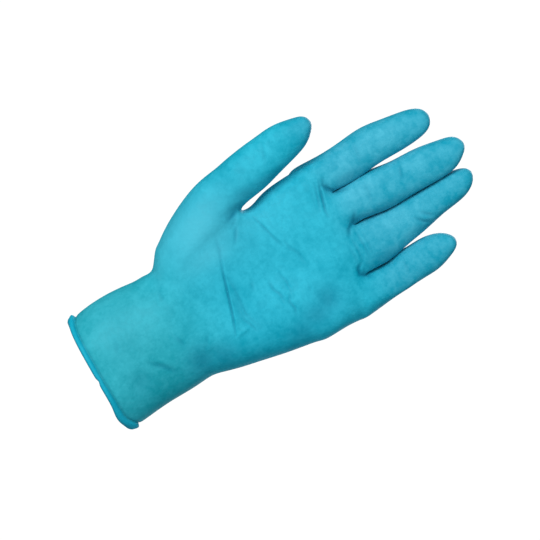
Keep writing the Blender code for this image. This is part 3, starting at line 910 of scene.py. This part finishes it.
def refine_creases(film, reach, widest):
    """Splits the outer skin's faces that lie within reach of a crease."""
    bm = bmesh.new()
    bm.from_mesh(film)
    outer = bm.verts.layers.float["outer"]
    facing = bm.verts.layers.float_vector["outward"]
    places = np.array([(vertex.co.x, vertex.co.z) for vertex in bm.verts]) / MM
    is_palm = np.array([vertex[facing].y < 0 for vertex in bm.verts])
    palm = crease_distance(places, PALM, widest)
    back = crease_distance(places, BACK, widest)
    near = dict(zip(bm.verts, np.where(is_palm, palm, back) < reach))
    faces = [
        face for face in bm.faces
        if any(near[vertex] for vertex in face.verts)
        and all(vertex[outer] > 0.5 for vertex in face.verts)]
    edges = {edge for face in faces for edge in face.edges}
    bmesh.ops.subdivide_edges(
        bm, edges=list(edges), cuts=1, use_grid_fill=True, smooth=1.0, use_smooth_even=True)
    bm.to_mesh(film)
    bm.free()


def side_relief(places, side):
    """Height of the film at each place of the palm's plane, its painted shade in grooves and
    hollows, and its paleness from pull and painted light.
    """
    height = np.zeros(len(places))
    groove_and_painted_shade = np.zeros(len(places))
    taut_and_painted_light = np.zeros(len(places))
    for swell in side.swells:
        across = (places[:, 0] - swell.x) / swell.wide
        up = (places[:, 1] - swell.z) / swell.tall
        share = np.exp(-across ** 2 - up ** 2)
        height += swell.out * share
        groove_and_painted_shade = np.maximum(groove_and_painted_shade, swell.shade * share)
        taut_and_painted_light = np.maximum(taut_and_painted_light, -swell.shade * share)
    for crease in side.creases:
        fold, depth = crease_profile(crease, places)
        height += fold
        groove_and_painted_shade = np.maximum(groove_and_painted_shade, depth)
    for patch in side.patches:
        height += patch_profile(patch, places)
    return height, groove_and_painted_shade, taut_and_painted_light


def uneven(points):
    """The film's own broad and fine unevenness at each point."""
    broad = [noise.noise(Vector(point) / UNEVEN_SIZE) for point in points]
    fine = [noise.noise(Vector(point) / FINE_SIZE + FINE_SHIFT) for point in points]
    return UNEVEN_HEIGHT * np.array(broad) + FINE_HEIGHT * np.array(fine)


def shape_film(mesh):
    """Presses the swells, creases and wrinkles into the film, on both sides of the glove."""
    points = read_rows(mesh.vertices, "co")
    normals = read_rows(mesh.attributes["outward"].data, "vector")
    normals /= np.linalg.norm(normals, axis=1)[:, None]
    facing = normals[:, 1]
    places = points[:, (0, 2)] / MM
    palm, palm_painted_shade, palm_taut_and_painted_light = side_relief(places, PALM)
    back, back_painted_shade, back_taut_and_painted_light = side_relief(places, BACK)
    is_palm = facing < 0
    height = np.where(is_palm, palm, back) * MM
    painted_shade_shown = smoothstep(*PAINTED_SHADE_FACING, np.abs(facing))
    points[:, 1] += facing * height
    for edge in EDGES:
        sign = -1.0 if edge.side == "thumb" else 1.0
        outside = sign * places[:, 0] > EDGE_FROM_MIDDLE
        turned = smoothstep(*EDGE_FACING, sign * normals[:, 0]) * outside
        share = np.exp(-((places[:, 1] - edge.z) / edge.tall) ** 2)
        points[:, 0] += sign * turned * edge.out * MM * share
    points += normals * (uneven(points) * smoothstep(*UNEVEN_FACING, np.abs(facing)))[:, None]
    write_points(mesh, points)
    # Painted shade in grooves, hollows and on shaded sides, and paleness from pull and painted
    # light
    write_values(mesh, "groove_and_painted_shade", np.where(is_palm, palm_painted_shade, back_painted_shade) * painted_shade_shown)
    write_values(mesh, "taut_and_painted_light", np.where(is_palm, palm_taut_and_painted_light, back_taut_and_painted_light))


def lobe_share(middle, reach, turn):
    """How much each turn round the rim, in degrees, shares in a form at the middle turn."""
    apart = (turn - middle + 180) % 360 - 180
    return np.exp(-(apart / reach) ** 2)


def roll_bead(mesh):
    """Rolls the rim into its bead, which grows into a lobe at each corner of the cuff."""
    points = read_rows(mesh.vertices, "co")
    normals = read_rows(mesh.vertex_normals, "vector")
    x, y, z = points.T
    turn = np.degrees(np.arctan2(-y / RIM_DEPTH, x / RIM_WIDTH))
    height = np.full(len(points), BEAD_HEIGHT)
    out = np.full(len(points), BEAD_OUT)
    pinch = np.full(len(points), BEAD_PINCH)
    lean = np.ones(len(points))
    for lobe in LOBES:
        share = lobe_share(lobe.turn, lobe.reach, turn)
        height += share * lobe.height
        out += share * lobe.out
        pinch += share * lobe.pinch
        lean += share * lobe.lean
    outward = np.stack((x / RIM_WIDTH ** 2, y / RIM_DEPTH ** 2, np.zeros(len(points))), 1)
    outward /= np.maximum(np.linalg.norm(outward, axis=1), 1e-9)[:, None]
    up = np.clip(z / height, 0.0, 1.0)
    outer = (normals * outward).sum(1) > 0
    swell = np.sqrt(np.clip(1 - (2 * up ** lean - 1) ** 2, 0.0, 1.0)) * out * outer
    drawn = np.exp(-((z - height - PINCH_RISE) / PINCH_REACH) ** 2)
    points += outward * (swell - drawn * pinch)[:, None]
    near_rim = 1 - smoothstep(0.0, RIM_FADE, z)
    thumb_lift = THUMB_CORNER_LIFT * lobe_share(THUMB_CORNER_TURN, THUMB_CORNER_REACH, turn)
    little_lift = LITTLE_CORNER_LIFT * smoothstep(*LITTLE_CORNER_SPAN, x)
    palm_lift = PALM_RIM_LIFT * smoothstep(0.0, PALM_RIM_SHARE, -y / (RIM_DEPTH / 2))
    waves = sum(wave.rise * np.exp(-((x - wave.x) / wave.reach) ** 2) for wave in RIM_WAVES)
    points[:, 2] += near_rim * (thumb_lift + little_lift + palm_lift) + waves * (y < 0) * (1 - up)
    write_points(mesh, points)
    write_values(mesh, "roll", (up < 1.0).astype(float) * outer)
    # Painted shade in the drawn-in line above the bead and on its underside
    underside = 1 - smoothstep(0.0, UNDERSIDE_SHARE, up)
    write_values(mesh, "line", np.maximum(drawn * PINCH_PAINTED_SHADE, underside) * outer)


def build_glove():
    form = modified(build_cage(), "SUBSURF", levels=CAGE_LEVELS, render_levels=CAGE_LEVELS)
    write_vectors(form, "outward", read_rows(form.vertex_normals, "vector"))
    film = modified(form, "SOLIDIFY", thickness=WALL, offset=-1.0, use_rim=True)
    write_values(film, "outer", np.arange(len(film.vertices)) < len(form.vertices))
    for reach, widest in zip(CREASE_REACHES, (math.inf, NARROW_CREASE)):
        refine_creases(film, reach, widest)
    shape_film(film)
    roll_bead(film)
    film.name = "nitrile_film"
    film.materials.append(nitrile_finish())
    film.shade_smooth()
    glove = bpy.data.objects.new("nitrile_film", film)
    bpy.context.scene.collection.objects.link(glove)
    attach(glove, "root")
    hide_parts(NODE)


class Value:
    """A socket of a finish. Sums and products of values become Math nodes."""

    def __init__(self, finish, socket):
        self.finish = finish
        self.socket = socket

    def math(self, operation, *values):
        return self.finish.node("ShaderNodeMath", {"operation": operation}, dict(enumerate(values)))

    def __add__(self, other):
        return self.math("ADD", self, other)

    def __radd__(self, other):
        return self.math("ADD", other, self)

    def __mul__(self, other):
        return self.math("MULTIPLY", self, other)

    def __rmul__(self, other):
        return self.math("MULTIPLY", other, self)


class Finish:
    """A material and the nodes that make its colour, gloss and grain."""

    def __init__(self, name):
        self.material = bpy.data.materials.new(name)
        self.material.use_nodes = True
        self.tree = self.material.node_tree
        self.shader = self.tree.nodes["Principled BSDF"]
        self.output = self.tree.nodes["Material Output"]

    def put(self, socket, value):
        """Sets a socket to a number or colour, or links it to another value."""
        if isinstance(value, Value):
            self.tree.links.new(value.socket, socket)
        else:
            socket.default_value = value

    def node(self, kind, settings=None, inputs=None, output=0):
        """Any other node: its settings first, then its sockets' values or links."""
        made = self.tree.nodes.new(kind)
        for name, value in (settings or {}).items():
            setattr(made, name, value)
        for name, value in (inputs or {}).items():
            self.put(made.inputs[name], value)
        return Value(self, made.outputs[output])

    def attribute(self, name):
        return self.node("ShaderNodeAttribute", {"attribute_name": name}, output="Fac")

    def place(self, **mapping):
        """Object coordinates, turned and scaled if mapping says so."""
        place = self.node("ShaderNodeTexCoord", output="Object")
        if mapping:
            return self.node("ShaderNodeMapping", inputs={"Vector": place, **mapping})
        return place

    def noise(self, place, size, detail=2.0, roughness=0.5):
        inputs = {"Vector": place, "Scale": 1 / size, "Detail": detail, "Roughness": roughness}
        return self.node("ShaderNodeTexNoise", inputs=inputs)

    def remap(self, value, low, high):
        """From 0 at low to 1 at high."""
        inputs = {"Value": value, "From Min": low, "From Max": high, "To Min": 0.0, "To Max": 1.0}
        return self.node("ShaderNodeMapRange", {"interpolation_type": "SMOOTHSTEP"}, inputs)

    def blend(self, share, first, second):
        inputs = {0: share, 6: first, 7: second}
        return self.node("ShaderNodeMix", {"data_type": "RGBA"}, inputs, output=2)

    def bump(self, height, distance):
        inputs = {"Height": height, "Distance": distance, "Strength": 1.0}
        return self.node("ShaderNodeBump", inputs=inputs)


def nitrile_finish():
    """Blue nitrile, satin, paler where stretched and with painted light, with painted shade in
    folds and hollows, deeper in the roll and with painted shade above and under it.
    """
    finish = Finish("nitrile_blue")
    place = finish.place()
    groove_and_painted_shade = finish.attribute("groove_and_painted_shade")
    roll = finish.attribute("roll")
    line = finish.attribute("line")
    taut_and_painted_light = finish.attribute("taut_and_painted_light")
    height = finish.node("ShaderNodeSeparateXYZ", inputs={0: place}, output="Z")
    sleeve_share = finish.remap(height, *SLEEVE_SPAN)
    finger_share = finish.remap(height, *FINGER_SPAN)
    clouds = finish.noise(place, CLOUD_SIZE, detail=3.0)
    cloud = finish.remap(clouds, *WIDE_CONTRAST)
    mottling = finish.noise(place, MOTTLE_SIZE, detail=3.0, roughness=0.6)
    mottle = finish.remap(mottling, *HIGH_CONTRAST)
    crinkles = finish.noise(place, CRINKLE_SIZE, detail=2.0, roughness=0.6)
    crinkle = finish.remap(crinkles, *WIDE_CONTRAST)
    turned = (0.0, STREAK_TURN, 0.0)
    streak_place = finish.place(Rotation=turned, Scale=(STREAK_STRETCH, 1.0, 1.0))
    streaks = finish.noise(streak_place, STREAK_SIZE, detail=2.0)
    streak = finish.remap(streaks, *WIDE_CONTRAST)

    tone = cloud * 0.40 + mottle * 0.28 + crinkle * 0.17 + streak * 0.15
    palm = finish.blend(tone, *PALM_BLUES)
    sleeve = finish.blend(tone, *SLEEVE_BLUES)
    fingers = finish.blend(tone, *FINGER_BLUES)
    body = finish.blend(sleeve_share, palm, sleeve)
    film = finish.blend(finger_share, body, fingers)
    # Paler where the film is taut, with painted light where the light falls
    taut_and_lit_film = finish.blend(taut_and_painted_light, film, TAUT_AND_PAINTED_LIGHT_BLUE)
    # Painted shade in folds, hollows and on the fingers' shaded sides
    deep = finish.blend(groove_and_painted_shade * PAINTED_SHADE_SHARE, taut_and_lit_film, PAINTED_SHADE_BLUE)
    rolled = finish.blend(roll * BEAD_SHARE, deep, BEAD_BLUE)
    # Painted shade in the drawn-in line above the bead and on the bead's underside
    colour = finish.blend(line * BEAD_PAINTED_SHADE_SHARE, rolled, BEAD_PAINTED_SHADE_BLUE)

    grain = finish.noise(place, GRAIN_SIZE, detail=2.0)
    pebble = finish.noise(place, PEBBLE_SIZE, detail=2.0)
    relief = grain * 0.20 + pebble * 0.35 + crinkle * 0.45
    finish.put(finish.shader.inputs["Base Color"], colour)
    finish.put(finish.shader.inputs["Roughness"], 0.50 + mottle * 0.10)
    finish.put(finish.shader.inputs["Normal"], finish.bump(relief, GRAIN_DEPTH))
    finish.put(finish.shader.inputs["IOR"], 1.45)
    finish.put(finish.shader.inputs["Specular IOR Level"], 0.14)
    return finish.material


def floor_finish():
    """Pale matt floor that fades out towards its edge."""
    finish = Finish("pale_floor")
    place = finish.place()
    length = {"operation": "LENGTH"}
    distance = finish.node("ShaderNodeVectorMath", length, {0: place}, output="Value")
    fade = finish.remap(distance, *(FLOOR_RADIUS * share for share in FLOOR_FADE))
    finish.put(finish.shader.inputs["Base Color"], FLOOR_GREY)
    finish.put(finish.shader.inputs["Roughness"], 0.8)
    clear = finish.node("ShaderNodeBsdfTransparent")
    solid = Value(finish, finish.shader.outputs[0])
    faded = finish.node("ShaderNodeMixShader", inputs={0: fade, 1: solid, 2: clear})
    finish.put(finish.output.inputs["Surface"], faded)
    return finish.material


def add_floor():
    bm = bmesh.new()
    height = Matrix.Translation((0.0, 0.0, -FLOOR_DROP))
    bmesh.ops.create_circle(bm, cap_ends=True, segments=96, radius=FLOOR_RADIUS, matrix=height)
    mesh = bpy.data.meshes.new("pale_floor")
    bm.to_mesh(mesh)
    bm.free()
    mesh.materials.append(floor_finish())
    floor = bpy.data.objects.new("pale_floor", mesh)
    bpy.context.scene.collection.objects.link(floor)


def add_world():
    """White behind the glove, with a dim cyan that lights it from all sides."""
    world = bpy.data.worlds.new("studio")
    world.use_nodes = True
    tree = world.node_tree
    seen = tree.nodes["Background"]
    seen.inputs["Color"].default_value = SEEN_WHITE
    seen.inputs["Strength"].default_value = SEEN_STRENGTH
    around = tree.nodes.new("ShaderNodeBackground")
    around.inputs["Color"].default_value = AROUND_CYAN
    around.inputs["Strength"].default_value = AROUND_STRENGTH
    path = tree.nodes.new("ShaderNodeLightPath")
    choice = tree.nodes.new("ShaderNodeMixShader")
    tree.links.new(path.outputs["Is Camera Ray"], choice.inputs[0])
    tree.links.new(around.outputs[0], choice.inputs[1])
    tree.links.new(seen.outputs[0], choice.inputs[2])
    tree.links.new(choice.outputs[0], tree.nodes["World Output"].inputs["Surface"])
    bpy.context.scene.world = world


def add_softbox(softbox):
    """A square light that faces the middle of the glove and isn't seen itself."""
    data = bpy.data.lights.new(softbox.name, "AREA")
    data.shape = "SQUARE"
    data.size = softbox.size
    data.energy = softbox.power
    light = bpy.data.objects.new(softbox.name, data)
    towards = Vector(softbox.direction).normalized()
    light.location = FRAME_CENTRE + towards * softbox.distance
    light.rotation_mode = "QUATERNION"
    light.rotation_quaternion = (-towards).to_track_quat("-Z", "Y")
    light.visible_camera = False
    bpy.context.scene.collection.objects.link(light)


def add_camera():
    """The photo's view of the palm, with the fingers up and to the right."""
    data = bpy.data.cameras.new("photo_view")
    data.sensor_width = SENSOR
    data.lens = SENSOR * CAMERA_DISTANCE / FRAME_WIDTH
    data.clip_end = 20.0
    right = Vector((math.cos(PHOTO_TILT), 0.0, math.sin(PHOTO_TILT)))
    up = Vector((-math.sin(PHOTO_TILT), 0.0, math.cos(PHOTO_TILT)))
    towards_camera = right.cross(up)
    camera = bpy.data.objects.new("photo_view", data)
    turned = Matrix((right, up, towards_camera)).transposed().to_4x4()
    moved = Matrix.Translation(FRAME_CENTRE + towards_camera * CAMERA_DISTANCE)
    camera.matrix_world = moved @ turned
    bpy.context.scene.collection.objects.link(camera)
    bpy.context.scene.camera = camera


build_glove()
add_floor()
add_world()
for softbox in SOFTBOXES:
    add_softbox(softbox)
add_camera()
bpy.context.scene.view_settings.view_transform = "Standard"
